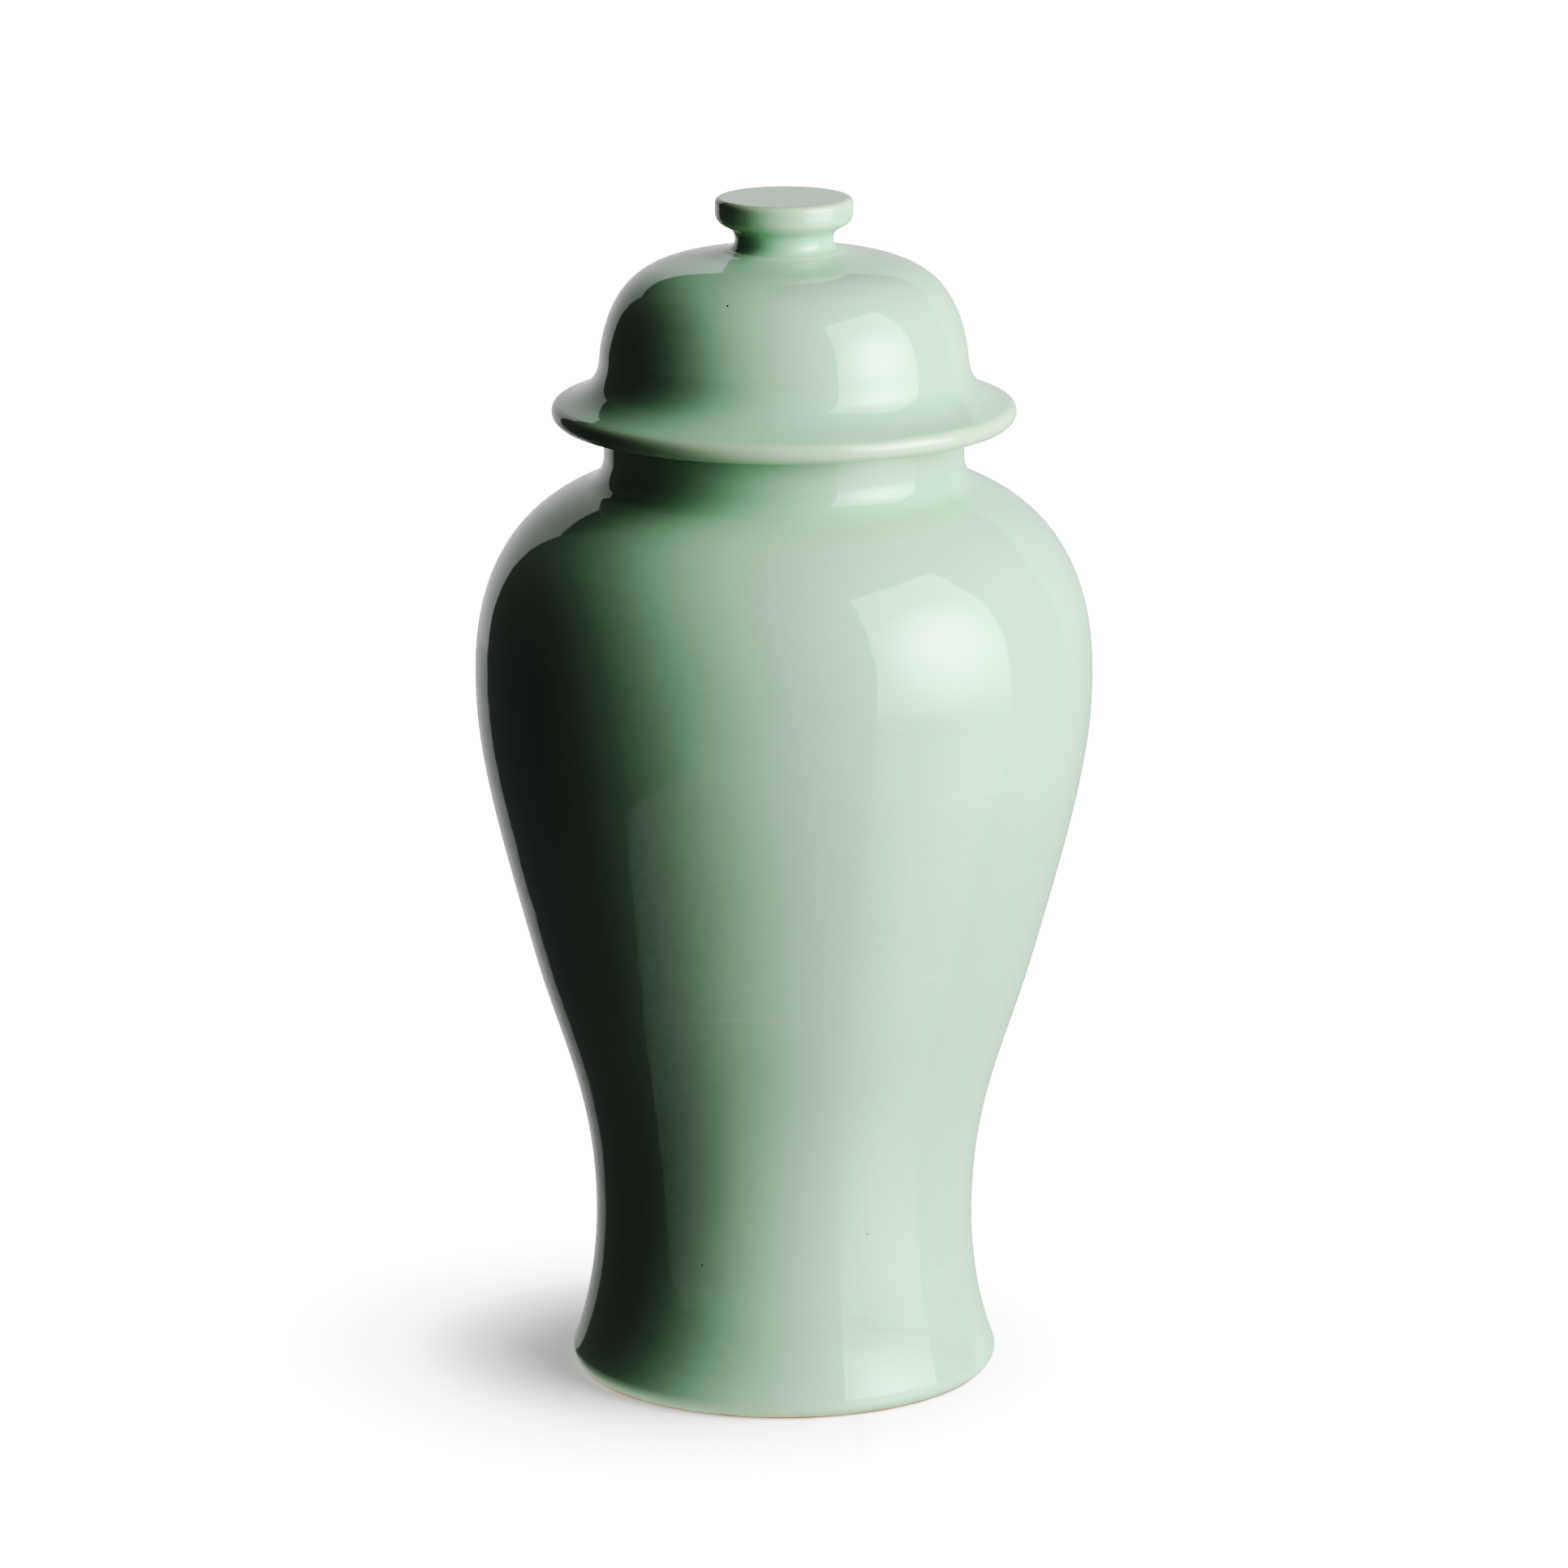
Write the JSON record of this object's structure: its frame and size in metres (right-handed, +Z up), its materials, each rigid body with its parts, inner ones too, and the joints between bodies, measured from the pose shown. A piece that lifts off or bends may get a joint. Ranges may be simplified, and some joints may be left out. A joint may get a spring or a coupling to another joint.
{
  "type": "ginger jar",
  "caption": "Tall lidded jar with a spreading foot, narrow waist, high shoulders and short neck, and a loose domed lid with a wide brim, a button knob and a locating ring.",
  "frame": {"origin": "centre of the foot on the plane the jar stands on", "axes": "+Z up along the jar's axis of turning, from the foot to the knob; X and Y are alike"},
  "size_m": [0.2358, 0.2358, 0.457],
  "materials": {
    "celadon_glaze": "gloss",
    "raw_clay": "matte"
  },
  "bodies": {
    "jar": {"jar_body": "celadon_glaze", "jar_floor": "celadon_glaze"},
    "lid": {"lid_dome": "celadon_glaze", "lid_knob": "celadon_glaze", "lid_locating_ring": "raw_clay"}
  },
  "joints": [
    {"name": "lid_lift", "type": "slide", "parent": "jar", "child": "lid", "axis": [0, 0, 1], "range_m": [0, 0.16]}
  ]
}
